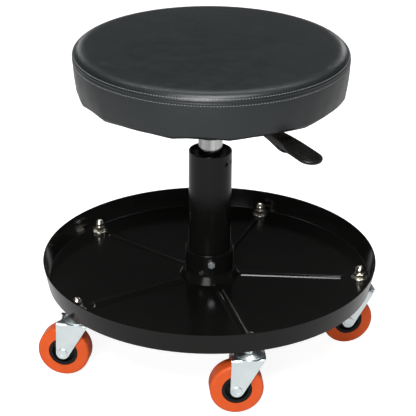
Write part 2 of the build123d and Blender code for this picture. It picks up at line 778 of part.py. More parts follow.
# Bump stop: rubber ring that the cylinder comes down on
with BuildPart() as bump_stop:
    with BuildSketch(Plane.XY.offset(rod_shoulder)):
        Circle(bump_stop_radius)
        Circle(rod_radius + fixed_gap, mode=Mode.SUBTRACT)
    extrude(amount=bump_stop_height)
    fillet(bump_stop.edges().group_by(Axis.Z)[-1].sort_by(SortBy.RADIUS)[-1], radius=2 * edge_break)
bump_stop.part.label = "bump_stop"
export_step(bump_stop.part, "parts/bump_stop.step")

# Piston: grooved disc on the rod's spigot
with BuildPart() as piston:
    with BuildSketch(Plane.XY.offset(piston_bottom)):
        Circle(cylinder_bore - running_gap)
        Circle(rod_spigot_radius + fixed_gap, mode=Mode.SUBTRACT)
    extrude(amount=piston_length)
    with BuildSketch(Plane.XY.offset(piston_bottom + (piston_length - piston_groove) / 2)):
        Circle(cylinder_bore + overrun)
        Circle(cylinder_bore - piston_groove, mode=Mode.SUBTRACT)
    extrude(amount=piston_groove, mode=Mode.SUBTRACT)
piston.part.label = "piston"
export_step(piston.part, "parts/piston.step")

# Gas cylinder: bright tube with a tapered head and a hole for the release pin
with BuildPart() as gas_cylinder:
    with BuildSketch(Plane.XZ):
        with BuildLine():
            Polyline(
                (cylinder_bore, cylinder_bottom),
                (cylinder_radius, cylinder_bottom),
                (cylinder_radius, socket_bottom),
                (cylinder_top_radius, cylinder_top),
                (release_pin_radius + running_gap, cylinder_top),
                (release_pin_radius + running_gap, cylinder_top - cylinder_cap),
                (cylinder_bore, cylinder_top - cylinder_cap),
                close=True,
            )
        make_face()
    revolve(axis=Axis.Z)
    fillet(gas_cylinder.edges().group_by(Axis.Z)[-1].sort_by(SortBy.RADIUS)[-1], radius=edge_break)
gas_cylinder.part.label = "gas_cylinder"
export_step(gas_cylinder.part, "parts/gas_cylinder.step")

# End guide: plug in the cylinder's lower end that guides and seals the rod
with BuildPart() as end_guide:
    with BuildSketch(Plane.XY.offset(cylinder_bottom)):
        Circle(cylinder_bore - fixed_gap)
        Circle(rod_radius + running_gap, mode=Mode.SUBTRACT)
    extrude(amount=end_guide_length)
end_guide.part.label = "end_guide"
export_step(end_guide.part, "parts/end_guide.step")

# Valve block: plug under the cylinder's head that the release pin works in
release_pin_bottom = cylinder_top + release_pin_stand - release_pin_length
with BuildPart() as valve_block:
    with BuildSketch(Plane.XY.offset(valve_block_bottom)):
        Circle(cylinder_bore - fixed_gap)
    extrude(amount=valve_block_length)
    with BuildSketch(Plane.XY.offset(release_pin_bottom - release_pin_travel - part_gap)):
        Circle(release_pin_radius + running_gap)
    extrude(amount=release_pin_length, mode=Mode.SUBTRACT)
valve_block.part.label = "valve_block"
export_step(valve_block.part, "parts/valve_block.step")

# Release pin: button on top of the cylinder that opens the valve
with BuildPart() as release_pin:
    with BuildSketch(Plane.XY.offset(release_pin_bottom)):
        Circle(release_pin_radius)
    extrude(amount=release_pin_length)
    fillet(release_pin.edges().group_by(Axis.Z)[-1], radius=edge_break)
release_pin.part.label = "release_pin"
export_step(release_pin.part, "parts/release_pin.step")

# Seat socket: thick tube whose tapered bore wedges on the cylinder's head
socket_bore_bottom = cylinder_radius + fixed_gap
socket_bore_top = socket_bore_bottom - socket_length * tan(radians(taper_angle))
with BuildPart() as seat_socket:
    with BuildSketch(Plane.XZ):
        with BuildLine():
            Polyline(
                (socket_bore_bottom, socket_bottom),
                (socket_radius, socket_bottom),
                (socket_radius, socket_top),
                (socket_bore_top, socket_top),
                close=True,
            )
        make_face()
    revolve(axis=Axis.Z)
    fillet(seat_socket.edges().group_by(Axis.Z)[0].sort_by(SortBy.RADIUS)[-1], radius=2 * edge_break)
seat_socket.part.label = "seat_socket"
export_step(seat_socket.part, "parts/seat_socket.step")

# Lever housing: round pressed pan under the seat plate, with two lugs that carry the lever's pivot
lever_side = upright_plane(lever_angle)
lever_plan = Plane(origin=(0, 0, 0), x_dir=lever_side.x_dir, z_dir=(0, 0, 1))
housing_floor_top = housing_bottom + housing_wall
lug_inner = lever_rod_radius + 2 * part_gap
lug_top = plate_bottom - lug_top_gap
with BuildPart() as lever_housing:
    with BuildSketch(Plane.XZ) as housing_section:
        with BuildLine():
            Polyline(
                (socket_radius + fixed_gap, housing_bottom),
                (housing_radius, housing_bottom),
                (housing_radius, plate_bottom),
                (housing_radius - housing_wall, plate_bottom),
                (housing_radius - housing_wall, housing_floor_top),
                (socket_radius + fixed_gap, housing_floor_top),
                close=True,
            )
        make_face()
        corners = housing_section.vertices()
        fillet(corners.sort_by_distance((housing_radius, housing_bottom))[0], radius=housing_bend_radius)
        fillet(corners.sort_by_distance((housing_radius - housing_wall, housing_floor_top))[0],
               radius=housing_bend_radius - housing_wall)
    revolve(axis=Axis.Z)
    for way in (-1, 1):
        with BuildSketch(lever_plan.offset(housing_floor_top)):
            with Locations((pivot_place, way * (lug_inner + lug_thickness / 2))):
                Rectangle(lug_length, lug_thickness)
        extrude(amount=lug_top - housing_floor_top)
    with BuildSketch(lever_side):
        with Locations((pivot_place, lever_height)):
            Circle(pivot_radius + fixed_gap)
    extrude(amount=lug_inner + lug_thickness + overrun, both=True, mode=Mode.SUBTRACT)
    slot_bottom = lever_height - lever_rod_radius - lever_slot_gap
    with BuildSketch(lever_plan.offset(slot_bottom)):
        with Locations((housing_radius - housing_wall / 2, 0)):
            Rectangle(housing_wall + 2 * overrun, 2 * (lever_rod_radius + lever_slot_gap))
    extrude(amount=plate_bottom - slot_bottom, mode=Mode.SUBTRACT)
lever_housing.part.label = "lever_housing"
export_step(lever_housing.part, "parts/lever_housing.step")

# Lever pivot: headed pin across the lugs
with BuildPart() as lever_pivot:
    with BuildSketch(lever_side):
        with Locations((pivot_place, lever_height)):
            Circle(pivot_radius)
    extrude(amount=lug_inner + lug_thickness, both=True)
    for way in (-1, 1):
        with BuildSketch(lever_side.offset(way * (lug_inner + lug_thickness))):
            with Locations((pivot_place, lever_height)):
                Circle(pivot_head_radius)
        extrude(amount=way * pivot_head_height)
lever_pivot.part.label = "lever_pivot"
export_step(lever_pivot.part, "parts/lever_pivot.step")

# Lever rod: round bar over the release pin, drilled for the pivot and bent down towards the paddle
lever_turn = radians(lever_angle)
slope_turn = radians(lever_slope)
lever_along = Vector(cos(lever_turn) * cos(slope_turn), sin(lever_turn) * cos(slope_turn), -sin(slope_turn))
bend_point = lever_side.from_local_coords((lever_bend_place, lever_height, 0))
rod_reach = paddle_start + paddle_rod_depth - lever_bend_place
rod_tip = (lever_bend_place + rod_reach * cos(slope_turn), lever_height - rod_reach * sin(slope_turn))
with BuildPart() as lever_rod:
    with BuildLine(lever_side) as rod_path:
        FilletPolyline((-lever_inner_reach, lever_height), (lever_bend_place, lever_height), rod_tip,
                       radius=lever_bend_radius)
    with BuildSketch(Plane(origin=rod_path.line @ 0, z_dir=rod_path.line % 0)):
        Circle(lever_rod_radius)
    sweep(path=rod_path.line)
    with BuildSketch(lever_side):
        with Locations((pivot_place, lever_height)):
            Circle(pivot_radius + running_gap)
    extrude(amount=lever_rod_radius + overrun, both=True, mode=Mode.SUBTRACT)
lever_rod.part.label = "lever_rod"
export_step(lever_rod.part, "parts/lever_rod.step")

# Lever paddle: moulded grip on the rod that swells to a knee and flattens to a dished blade with a round tip
grip_from = paddle_start - lever_bend_place
blade_centre = paddle_end - lever_bend_place - blade_width / 2
grip_section = (grip_width, grip_height, grip_round)
knee_section = (knee_width, knee_height, knee_round)
blade_section = (blade_width, blade_height, blade_round)
paddle_stations = (
    (grip_from, 0, grip_section),
    (grip_end - lever_bend_place, 0, grip_section),
    (knee_start - lever_bend_place, knee_drop, knee_section),
    (knee_end - lever_bend_place, knee_drop, knee_section),
    (blade_start - lever_bend_place, 0, blade_section),
    (blade_centre, 0, blade_section),
)
paddle_across = Plane(origin=bend_point, x_dir=-lever_side.z_dir, z_dir=lever_along)
paddle_plan = Plane(origin=bend_point, x_dir=lever_along, z_dir=paddle_across.y_dir)
tip_axis = Axis(bend_point + lever_along * blade_centre, paddle_plan.z_dir)
with BuildPart() as lever_paddle:
    for near, far in zip(paddle_stations, paddle_stations[1:]):
        for place, drop, section_sizes in (near, far):
            with BuildSketch(paddle_across.offset(place)):
                with Locations((0, -drop)):
                    RectangleRounded(*section_sizes)
        loft(ruled=True)
    with BuildSketch(paddle_across.offset(blade_centre)):
        RectangleRounded(*blade_section)
        Rectangle(blade_width, blade_height, align=(Align.MIN, Align.CENTER), mode=Mode.SUBTRACT)
    revolve(axis=tip_axis, revolution_arc=180)
    with BuildSketch(paddle_plan.offset(blade_height / 2)):
        with Locations((blade_centre - dish_length / 4, 0)):
            SlotOverall(dish_length, dish_width)
    extrude(amount=-dish_depth, taper=dish_slope, mode=Mode.SUBTRACT)
    with BuildSketch(paddle_across.offset(grip_from)):
        Circle(lever_rod_radius + fixed_gap)
    extrude(amount=paddle_rod_depth + part_gap, mode=Mode.SUBTRACT)
lever_paddle.part.label = "lever_paddle"
export_step(lever_paddle.part, "parts/lever_paddle.step")

# Seat plate: square steel plate over the housing, with a bolt hole near each corner
with BuildPart() as seat_plate:
    with BuildSketch(lever_plan.offset(plate_bottom)):
        RectangleRounded(plate_size, plate_size, plate_corner)
        with GridLocations(bolt_square_width, bolt_square_width, 2, 2):
            Circle(bolt_radius + bolt_hole_gap, mode=Mode.SUBTRACT)
    extrude(amount=plate_thickness)
seat_plate.part.label = "seat_plate"
export_step(seat_plate.part, "parts/seat_plate.step")

# Plate bolts: hex bolts with a flange, up through the plate into the board's T-nuts
bolt_flange_bottom = plate_bottom - bolt_flange_height
with BuildPart() as plate_bolts:
    with BuildSketch(lever_plan.offset(bolt_flange_bottom)):
        with GridLocations(bolt_square_width, bolt_square_width, 2, 2):
            Circle(bolt_flange_radius)
    extrude(amount=bolt_flange_height)
    with BuildSketch(lever_plan.offset(bolt_flange_bottom)):
        with GridLocations(bolt_square_width, bolt_square_width, 2, 2):
            RegularPolygon(bolt_hex_radius, 6)
    extrude(amount=-bolt_head_height)
    with BuildSketch(lever_plan.offset(plate_bottom)):
        with GridLocations(bolt_square_width, bolt_square_width, 2, 2):
            Circle(bolt_radius)
    extrude(amount=board_top - bolt_tip_gap - plate_bottom)
plate_bolts.part.label = "plate_bolts"
export_step(plate_bolts.part, "parts/plate_bolts.step")

# T-nuts: barrels in the board, with their flanges let into its top
nut_flange_bottom = board_top - nut_flange_thickness
with BuildPart() as t_nuts:
    with BuildSketch(lever_plan.offset(nut_flange_bottom)):
        with GridLocations(bolt_square_width, bolt_square_width, 2, 2):
            Circle(nut_flange_radius)
    extrude(amount=nut_flange_thickness)
    with BuildSketch(lever_plan.offset(nut_flange_bottom - nut_barrel_length)):
        with GridLocations(bolt_square_width, bolt_square_width, 2, 2):
            Circle(nut_barrel_radius)
    extrude(amount=nut_barrel_length)
    with BuildSketch(lever_plan.offset(nut_flange_bottom - nut_barrel_length)):
        with GridLocations(bolt_square_width, bolt_square_width, 2, 2):
            Circle(bolt_radius + fixed_gap)
    extrude(amount=nut_barrel_length + nut_flange_thickness, mode=Mode.SUBTRACT)
t_nuts.part.label = "t_nuts"
export_step(t_nuts.part, "parts/t_nuts.step")

# Seat board: round plywood board, bored and counterbored for the T-nuts
with BuildPart() as seat_board:
    with BuildSketch(Plane.XY.offset(board_bottom)):
        Circle(board_radius)
    extrude(amount=board_thickness)
    fillet(seat_board.edges(), radius=board_round)
    with BuildSketch(lever_plan.offset(board_bottom)):
        with GridLocations(bolt_square_width, bolt_square_width, 2, 2):
            Circle(nut_barrel_radius + fixed_gap)
    extrude(amount=board_thickness, mode=Mode.SUBTRACT)
    with BuildSketch(lever_plan.offset(nut_flange_bottom)):
        with GridLocations(bolt_square_width, bolt_square_width, 2, 2):
            Circle(nut_flange_radius + fixed_gap)
    extrude(amount=nut_flange_thickness, mode=Mode.SUBTRACT)
seat_board.part.label = "seat_board"
export_step(seat_board.part, "parts/seat_board.step")


def seat_section(inset):
    """Half section of the seat, drawn in by the given amount from the cover's outer face."""
    top = seat_top - inset
    bottom = seat_bottom + inset
    shoulder_radius = seat_radius - shoulder_width
    shoulder_height_here = top - crown_rise
    seam_middle = seat_bottom + seam_height
    seam_radius = seat_radius - inset
    foot_radius = seat_radius - seat_foot_inset - inset
    foot_height = bottom + seat_corner_height
    corner_radius = foot_radius - seat_corner_width
    band_radius = (seam_radius + foot_radius) / 2 + seat_waist_inset
    with BuildSketch(Plane.XZ) as half:
        with BuildLine():
            Line((0, bottom), (0, top))
            crown = RadiusArc((0, top), (shoulder_radius, shoulder_height_here),
                              (shoulder_radius ** 2 + crown_rise ** 2) / (2 * crown_rise))
            shoulder = TangentArc(crown @ 1, (seam_radius, seam_middle + seam_half_width), tangent=crown % 1)
            seam = Polyline(shoulder @ 1, (seam_radius - seam_depth, seam_middle),
                            (seam_radius, seam_middle - seam_half_width))
            band = ThreePointArc(seam @ 1, (band_radius, (seam_middle + foot_height) / 2),
                                 (foot_radius, foot_height))
            corner = ThreePointArc(
                band @ 1,
                (foot_radius - seat_corner_width * seat_corner_share, bottom + seat_corner_height * seat_corner_share),
                (corner_radius, bottom),
            )
            Line(corner @ 1, (0, bottom))
        make_face()
    return half.sketch


# Seat foam: crowned pad on the board, which also fills the ring round the board's edge
with BuildPart() as seat_foam:
    revolve(seat_section(cover_thickness + fixed_gap), axis=Axis.Z)
    with BuildSketch(Plane.XY.offset(seat_bottom)):
        Circle(board_radius + fixed_gap)
    extrude(amount=board_top - seat_bottom, mode=Mode.SUBTRACT)
seat_foam.part.label = "seat_foam"
export_step(seat_foam.part, "parts/seat_foam.step")

# Seat cover: sewn skin with a top panel and a side band, drawn under the board in a hem
with BuildPart() as seat_cover:
    revolve(seat_section(0), axis=Axis.Z)
    revolve(seat_section(cover_thickness), axis=Axis.Z, mode=Mode.SUBTRACT)
    with BuildSketch(Plane.XY.offset(seat_bottom)):
        Circle(hem_inner_radius)
    extrude(amount=cover_thickness, mode=Mode.SUBTRACT)
seat_cover.part.label = "seat_cover"
export_step(seat_cover.part, "parts/seat_cover.step")
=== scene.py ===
import json
import math

import bpy
import numpy as np
from mathutils import Matrix, Vector


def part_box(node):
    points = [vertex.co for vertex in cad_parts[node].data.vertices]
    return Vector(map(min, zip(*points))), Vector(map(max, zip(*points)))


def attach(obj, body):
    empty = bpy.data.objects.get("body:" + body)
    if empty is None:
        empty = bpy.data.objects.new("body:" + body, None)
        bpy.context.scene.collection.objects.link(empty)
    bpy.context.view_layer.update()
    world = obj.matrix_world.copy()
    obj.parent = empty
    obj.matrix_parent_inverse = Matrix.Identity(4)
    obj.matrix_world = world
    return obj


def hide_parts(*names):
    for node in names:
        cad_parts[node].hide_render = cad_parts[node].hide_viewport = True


# Mechanic stool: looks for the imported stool. Metres, in the part's own frame, with -Y towards the camera.

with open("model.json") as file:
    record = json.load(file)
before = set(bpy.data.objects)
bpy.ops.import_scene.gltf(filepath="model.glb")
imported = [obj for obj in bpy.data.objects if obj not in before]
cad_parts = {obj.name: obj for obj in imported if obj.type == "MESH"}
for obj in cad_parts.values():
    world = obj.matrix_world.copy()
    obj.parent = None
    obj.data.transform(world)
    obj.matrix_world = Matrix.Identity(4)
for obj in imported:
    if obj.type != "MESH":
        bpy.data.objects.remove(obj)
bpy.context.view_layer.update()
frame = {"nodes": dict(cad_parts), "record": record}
nodes = frame["nodes"]

MM = 0.001
DEG = math.pi / 180

# Camera, fitted to the photograph's tray, seat and wheels
CAMERA_ELEVATION = 24.53 * DEG
CAMERA_DISTANCE = 1879.2 * MM
CAMERA_AIM = Vector((0, 0, 173.9 * MM))
CAMERA_ROLL = 0.52 * DEG
IMAGE_SIZE = 416
FOCAL_PIXELS = 1607.2
SENSOR = 36.0
AIM_PIXEL = (209.97, 201.14)

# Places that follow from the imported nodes
SEAT_LOW, SEAT_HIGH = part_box("seat_cover")
BOARD_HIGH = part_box("seat_board")[1]
SEAT_RADIUS = SEAT_HIGH.x
BOARD_RADIUS = BOARD_HIGH.x


# Camera
def make_camera():
    """Camera from which the photograph was taken."""
    data = bpy.data.cameras.new("camera")
    data.sensor_width = SENSOR
    data.lens = FOCAL_PIXELS / IMAGE_SIZE * SENSOR
    data.shift_x = (IMAGE_SIZE / 2 - AIM_PIXEL[0]) / IMAGE_SIZE
    data.shift_y = (AIM_PIXEL[1] - IMAGE_SIZE / 2) / IMAGE_SIZE
    camera = bpy.data.objects.new("camera", data)
    bpy.context.scene.collection.objects.link(camera)
    back = Vector((0, -math.cos(CAMERA_ELEVATION), math.sin(CAMERA_ELEVATION)))
    camera.location = CAMERA_AIM + back * CAMERA_DISTANCE
    camera.rotation_euler = (math.pi / 2 - CAMERA_ELEVATION, 0, 0)
    camera.rotation_euler = (
        camera.rotation_euler.to_matrix() @ Matrix.Rotation(CAMERA_ROLL, 3, "Z")
    ).to_euler()
    bpy.context.scene.camera = camera


make_camera()


# Node helpers
class Shader:
    """A node tree being built for one material or for the world."""

    def __init__(self, tree):
        self.tree = tree
        self.tree.nodes.clear()

    def node(self, kind, **settings):
        made = self.tree.nodes.new(kind)
        for name, value in settings.items():
            setattr(made, name, value)
        return made

    def link(self, out, into):
        self.tree.links.new(out, into)

    def place(self):
        """Object coordinates, which stay with the piece."""
        return self.node("ShaderNodeTexCoord").outputs["Object"]

    def noise(self, scale, detail=3.0, rough=0.5, stretch=(1, 1, 1)):
        """Cloudy pattern, from 0 to 1."""
        mapping = self.node("ShaderNodeMapping")
        mapping.inputs["Scale"].default_value = stretch
        self.link(self.place(), mapping.inputs["Vector"])
        made = self.node("ShaderNodeTexNoise")
        made.inputs["Scale"].default_value = scale
        made.inputs["Detail"].default_value = detail
        made.inputs["Roughness"].default_value = rough
        self.link(mapping.outputs["Vector"], made.inputs["Vector"])
        return made.outputs["Fac"]

    def span(self, value, low, high, from_low=0.0, from_high=1.0):
        """Value stretched from one range to another."""
        made = self.node("ShaderNodeMapRange")
        made.inputs["From Min"].default_value = from_low
        made.inputs["From Max"].default_value = from_high
        made.inputs["To Min"].default_value = low
        made.inputs["To Max"].default_value = high
        self.link(value, made.inputs["Value"])
        return made.outputs["Result"]

    def mix(self, factor, dark, light):
        """Colour between two others."""
        made = self.node("ShaderNodeMix", data_type="RGBA")
        self.link(factor, made.inputs["Factor"])
        for name, colour in (("A", dark), ("B", light)):
            socket = [s for s in made.inputs if s.name == name and s.type == "RGBA"][0]
            if isinstance(colour, tuple):
                socket.default_value = (*colour, 1.0)
            else:
                self.link(colour, socket)
        return [s for s in made.outputs if s.type == "RGBA"][0]

    def maths(self, operation, first, second):
        made = self.node("ShaderNodeMath", operation=operation)
        for index, value in enumerate((first, second)):
            if isinstance(value, (int, float)):
                made.inputs[index].default_value = value
            else:
                self.link(value, made.inputs[index])
        return made.outputs[0]

    def bump(self, height, distance, strength=1.0, under=None):
        """Normals of a relief, laid over those of a coarser one."""
        made = self.node("ShaderNodeBump")
        made.inputs["Strength"].default_value = strength
        made.inputs["Distance"].default_value = distance
        self.link(height, made.inputs["Height"])
        if under is not None:
            self.link(under, made.inputs["Normal"])
        return made.outputs["Normal"]


def surface(name, colour, roughness, metallic=0.0, normal=None, **sockets):
    """Material whose shader's sockets take numbers, colours or a function that builds the nodes for them."""
    made = bpy.data.materials.new(name)
    made.use_nodes = True
    shader = Shader(made.node_tree)
    output = shader.node("ShaderNodeOutputMaterial")
    body = shader.node("ShaderNodeBsdfPrincipled")
    shader.link(body.outputs["BSDF"], output.inputs["Surface"])
    values = {"Base Color": colour, "Roughness": roughness, "Metallic": metallic, "Normal": normal}
    values.update({key.replace("_", " "): value for key, value in sockets.items()})
    for key, value in values.items():
        if value is None:
            continue
        if callable(value):
            shader.link(value(shader), body.inputs[key])
        elif body.inputs[key].type == "RGBA":
            body.inputs[key].default_value = (*value, 1.0)
        else:
            body.inputs[key].default_value = value
    return made


# Materials
def enamel(name, dark, light, roughness, specular):
    """Sprayed black paint, with a fine orange peel and a few duller patches."""
    return surface(
        name,
        lambda s: s.mix(s.noise(9.0, 4.0), dark, light),
        lambda s: s.span(s.noise(26.0, 5.0), roughness - 0.03, roughness + 0.05, 0.3, 0.7),
        normal=lambda s: s.bump(s.noise(420.0, 2.0), 0.00004),
        Specular_IOR_Level=specular,
    )


def plated(name, dark, light, rough_low, rough_high, grain):
    """Plated steel, cloudy in tone, with fine pits from the bath."""
    return surface(
        name,
        lambda s: s.mix(s.noise(45.0, 4.0), dark, light),
        lambda s: s.span(s.noise(140.0, 5.0), rough_low, rough_high, 0.3, 0.7),
        metallic=1.0,
        normal=lambda s: s.bump(s.noise(900.0, 3.0), grain),
    )


def turned(name, dark, light, rough_low, rough_high):
    """Ground or drawn metal, with fine marks round and along it."""
    return surface(
        name,
        lambda s: s.mix(s.noise(60.0, 3.0, stretch=(1, 1, 8)), dark, light),
        lambda s: s.span(s.noise(300.0, 3.0, stretch=(1, 1, 6)), rough_low, rough_high, 0.3, 0.7),
        metallic=1.0,
    )


def drawn(name, dark, light, rough_low, rough_high):
    """Drawn and chromed tube, with long dark and light streaks up it: partly drawing marks, partly painted
    reflections of a dark and light surround.
    """
    return surface(
        name,
        lambda s: s.mix(s.span(s.noise(95.0, 2.0, stretch=(1, 1, 0.02)), 0.0, 1.0, 0.35, 0.65), dark, light),
        lambda s: s.span(s.noise(300.0, 3.0), rough_low, rough_high, 0.3, 0.7),
        metallic=1.0,
    )


def moulded(name, dark, light, rough_low, rough_high, grain, specular=0.5):
    """Moulded plastic or rubber, with a fine spark-eroded grain."""
    return surface(
        name,
        lambda s: s.mix(s.noise(70.0, 4.0), dark, light),
        lambda s: s.span(s.noise(180.0, 4.0), rough_low, rough_high, 0.3, 0.7),
        normal=lambda s: s.bump(s.noise(1500.0, 2.0), grain),
        Specular_IOR_Level=specular,
    )


def vinyl():
    """Black vinyl with a small pebbled grain over soft creases in tone."""

    def grain(s):
        broad = s.bump(s.noise(55.0, 2.0), 0.0003, 0.5)
        return s.bump(s.noise(560.0, 2.0), 0.00016, 0.8, broad)

    return surface(
        "vinyl",
        lambda s: s.mix(s.noise(14.0, 5.0, 0.6), (0.0058, 0.0080, 0.0087), (0.0088, 0.0114, 0.0123)),
        lambda s: s.span(s.noise(80.0, 5.0), 0.30, 0.38, 0.3, 0.7),
        normal=grain,
        Specular_IOR_Level=0.42,
    )


def plywood():
    """Birch plywood, with wavy grain on its faces."""

    def veneer(s):
        rings = s.node("ShaderNodeTexWave", wave_type="BANDS", bands_direction="X")
        rings.inputs["Scale"].default_value = 26.0
        rings.inputs["Distortion"].default_value = 7.0
        rings.inputs["Detail"].default_value = 3.0
        rings.inputs["Detail Scale"].default_value = 1.4
        s.link(s.place(), rings.inputs["Vector"])
        return s.mix(rings.outputs["Fac"], (0.36, 0.23, 0.12), (0.58, 0.41, 0.23))

    return surface(
        "plywood",
        veneer,
        0.62,
        normal=lambda s: s.bump(s.noise(260.0, 4.0, stretch=(6, 1, 1)), 0.0002),
    )


def polyurethane():
    """Orange cast wheel rubber, a little cloudy, with scuffs on the running face."""
    return surface(
        "orange_tread",
        lambda s: s.mix(s.noise(60.0, 5.0), (0.47, 0.058, 0.0085), (0.57, 0.083, 0.013)),
        lambda s: s.span(s.noise(240.0, 5.0), 0.3, 0.46, 0.3, 0.7),
        normal=lambda s: s.bump(s.noise(700.0, 3.0), 0.00005),
        Specular_IOR_Level=0.22,
        Subsurface_Weight=0.08,
        Subsurface_Radius=(0.004, 0.0012, 0.0005),
        Subsurface_Scale=1.0,
    )


MATERIALS = {
    "black_enamel": enamel("black_enamel", (0.0030, 0.0030, 0.0028), (0.0050, 0.0050, 0.0047), 0.15, 0.19),
    "black_steel": enamel("black_steel", (0.008, 0.008, 0.008), (0.014, 0.014, 0.013), 0.34, 0.35),
    "zinc": plated("zinc", (0.58, 0.64, 0.65), (0.77, 0.83, 0.84), 0.28, 0.40, 0.000008),
    "bright_nickel": plated(
        "bright_nickel", (0.74, 0.71, 0.63), (0.83, 0.80, 0.72), 0.15, 0.25, 0.000008
    ),
    "chrome": drawn("chrome", (0.20, 0.203, 0.20), (0.50, 0.505, 0.50), 0.12, 0.2),
    "bearing_steel": turned("bearing_steel", (0.48, 0.49, 0.51), (0.60, 0.61, 0.63), 0.15, 0.26),
    "brass": turned("brass", (0.62, 0.44, 0.18), (0.76, 0.58, 0.28), 0.22, 0.34),
    "aluminium": turned("aluminium", (0.66, 0.67, 0.69), (0.78, 0.79, 0.80), 0.25, 0.4),
    "black_plastic": moulded(
        "black_plastic", (0.010, 0.010, 0.010), (0.016, 0.016, 0.016), 0.38, 0.5, 0.00004
    ),
    "hub_plastic": moulded(
        "hub_plastic", (0.003, 0.0034, 0.0038), (0.005, 0.0055, 0.006), 0.36, 0.5, 0.00004, 0.15
    ),
    "paddle_plastic": moulded(
        "paddle_plastic", (0.004, 0.004, 0.0038), (0.007, 0.007, 0.0066), 0.24, 0.34, 0.00002, 0.2
    ),
    "black_rubber": moulded(
        "black_rubber", (0.014, 0.014, 0.014), (0.022, 0.022, 0.022), 0.6, 0.75, 0.00006
    ),
    "orange_tread": polyurethane(),
    "plywood": plywood(),
    "foam": moulded("foam", (0.62, 0.56, 0.40), (0.72, 0.66, 0.50), 0.85, 0.95, 0.0003, 0.2),
    "vinyl": vinyl(),
}

for entry in frame["record"]["subparts"]:
    piece = nodes[entry["node"]]
    piece.data.materials.clear()
    piece.data.materials.append(MATERIALS[entry["material_slot"]])


# Mesh helpers
def mesh_piece(name, vertices, faces, material, body):
    """New mesh object that rides on a body, with the given material."""
    data = bpy.data.meshes.new(name)
    data.from_pydata([tuple(v) for v in vertices], [], faces)
    data.validate()
    data.update()
    data.shade_smooth()
    piece = bpy.data.objects.new(name, data)
    bpy.context.scene.collection.objects.link(piece)
    data.materials.append(material)
    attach(piece, body)
    return piece


def ring_faces(rings, around, offset=0):
    """Quads between rings of points that each close on themselves."""
    faces = []
    for ring in range(rings - 1):
        for step in range(around):
            a = offset + ring * around + step
            b = offset + ring * around + (step + 1) % around
            faces.append((a, b, b + around, a + around))
    return faces


# Seat cushion: its half profile, from the middle of the top out to the seam and in under the board
CROWN_RISE = 3.0 * MM
SHOULDER_WIDTH = 17.0 * MM
SHOULDER_FULLNESS = 2.35
SEAM_DROP = 12.8 * MM
WAIST_BULGE = 0.7 * MM
FOOT_INSET = 3.6 * MM
FOOT_WIDTH = 6.5 * MM
FOOT_HEIGHT = 7.0 * MM
HEM_THICKNESS = 1.0 * MM
HEM_INNER = 126.0 * MM
AROUND = 720
HEM_PULLS = (-158.6, -139.6, -105.7, -82.3, -47.1, -11.8, 21.0, 48.0, 79.0, 104.0, 131.0, 163.0, 184.0)


def seat_profile():
    """Points (radius, height) of the seat's half section, and how far past the seam each lies."""
    seam_height = SEAT_HIGH.z - SEAM_DROP
    shoulder = SEAT_RADIUS - SHOULDER_WIDTH
    foot = SEAT_RADIUS - FOOT_INSET
    foot_height = SEAT_LOW.z + FOOT_HEIGHT
    points = []
    for share in np.linspace(0, 1, 16)[1:]:
        radius = share * shoulder
        points.append((radius, SEAT_HIGH.z - CROWN_RISE * share**2))
    fall = SEAT_HIGH.z - CROWN_RISE * (SEAT_RADIUS / shoulder) ** 2 - seam_height
    for turn in np.linspace(0, math.pi / 2, 41)[1:]:
        out = abs(math.sin(turn)) ** (2 / SHOULDER_FULLNESS)
        radius = shoulder + SHOULDER_WIDTH * out
        left = max(0.0, 1 - out**SHOULDER_FULLNESS) ** (1 / SHOULDER_FULLNESS)
        points.append((radius, SEAT_HIGH.z - CROWN_RISE * (radius / shoulder) ** 2 - fall * (1 - left)))
    seam_index = len(points) - 1
    for share in np.linspace(0, 1, 44)[1:]:
        bulge = WAIST_BULGE * 4 * share * (1 - share)
        points.append((
            SEAT_RADIUS - FOOT_INSET * share + bulge,
            seam_height + (foot_height - seam_height) * share,
        ))
    for turn in np.linspace(0, math.pi / 2, 12)[1:]:
        points.append((
            foot - FOOT_WIDTH + FOOT_WIDTH * math.cos(turn),
            foot_height - FOOT_HEIGHT * math.sin(turn),
        ))
    for radius in np.linspace(foot - FOOT_WIDTH, HEM_INNER, 12)[1:]:
        points.append((radius, SEAT_LOW.z))
    points = np.array(points)
    steps = np.linalg.norm(np.diff(points, axis=0), axis=1)
    along = np.concatenate([[0], np.cumsum(steps)])
    return points, along - along[seam_index]


def waves(angle, terms):
    """Sum of cosines round the seat: (turns round, phase, height) for each."""
    return sum(height * np.cos(count * angle + phase) for count, phase, height in terms)


def pull_pattern(angle):
    """1 at each hem pull and 0 midway between two of them."""
    pulls = np.sort(np.radians(np.array(HEM_PULLS)) % (2 * math.pi))
    around = np.mod(angle, 2 * math.pi)
    after = np.searchsorted(pulls, around) % len(pulls)
    before = (after - 1) % len(pulls)
    gap = np.mod(pulls[after] - pulls[before], 2 * math.pi)
    share = np.mod(around - pulls[before], 2 * math.pi) / gap
    return np.abs(2 * share - 1) ** 1.6


# Relief of the cover: depth or height of each form, and how wide it runs along the profile
SEAM_GROOVE, SEAM_GROOVE_WIDTH = 0.3 * MM, 0.6 * MM
SEAM_PUFF, SEAM_PUFF_OFFSET, SEAM_PUFF_WIDTH = 0.3 * MM, 1.8 * MM, 1.6 * MM
STITCH_DIMPLE, STITCH_OFFSET, STITCH_DIMPLE_WIDTH = 0.15 * MM, 3.7 * MM, 0.7 * MM
BAND_DRAPE = 1.0 * MM
HEM_PULL = 1.5 * MM
HEM_PULL_MEAN = 0.55
HEM_SCALLOP = 1.3 * MM
TOP_DIP = 0.35 * MM
TOP_DIP_START, TOP_DIP_FADE, TOP_DIP_MIDDLE = 14 * MM, 50 * MM, 70 * MM
PLEAT_DEPTH = 0.8 * MM
UNDERSIDE_SAG = 0.1 * MM
BOARD_GAP = 0.2 * MM
BOARD_EDGE_GAP = 0.3 * MM
BOARD_EDGE_MARGIN = 2 * MM
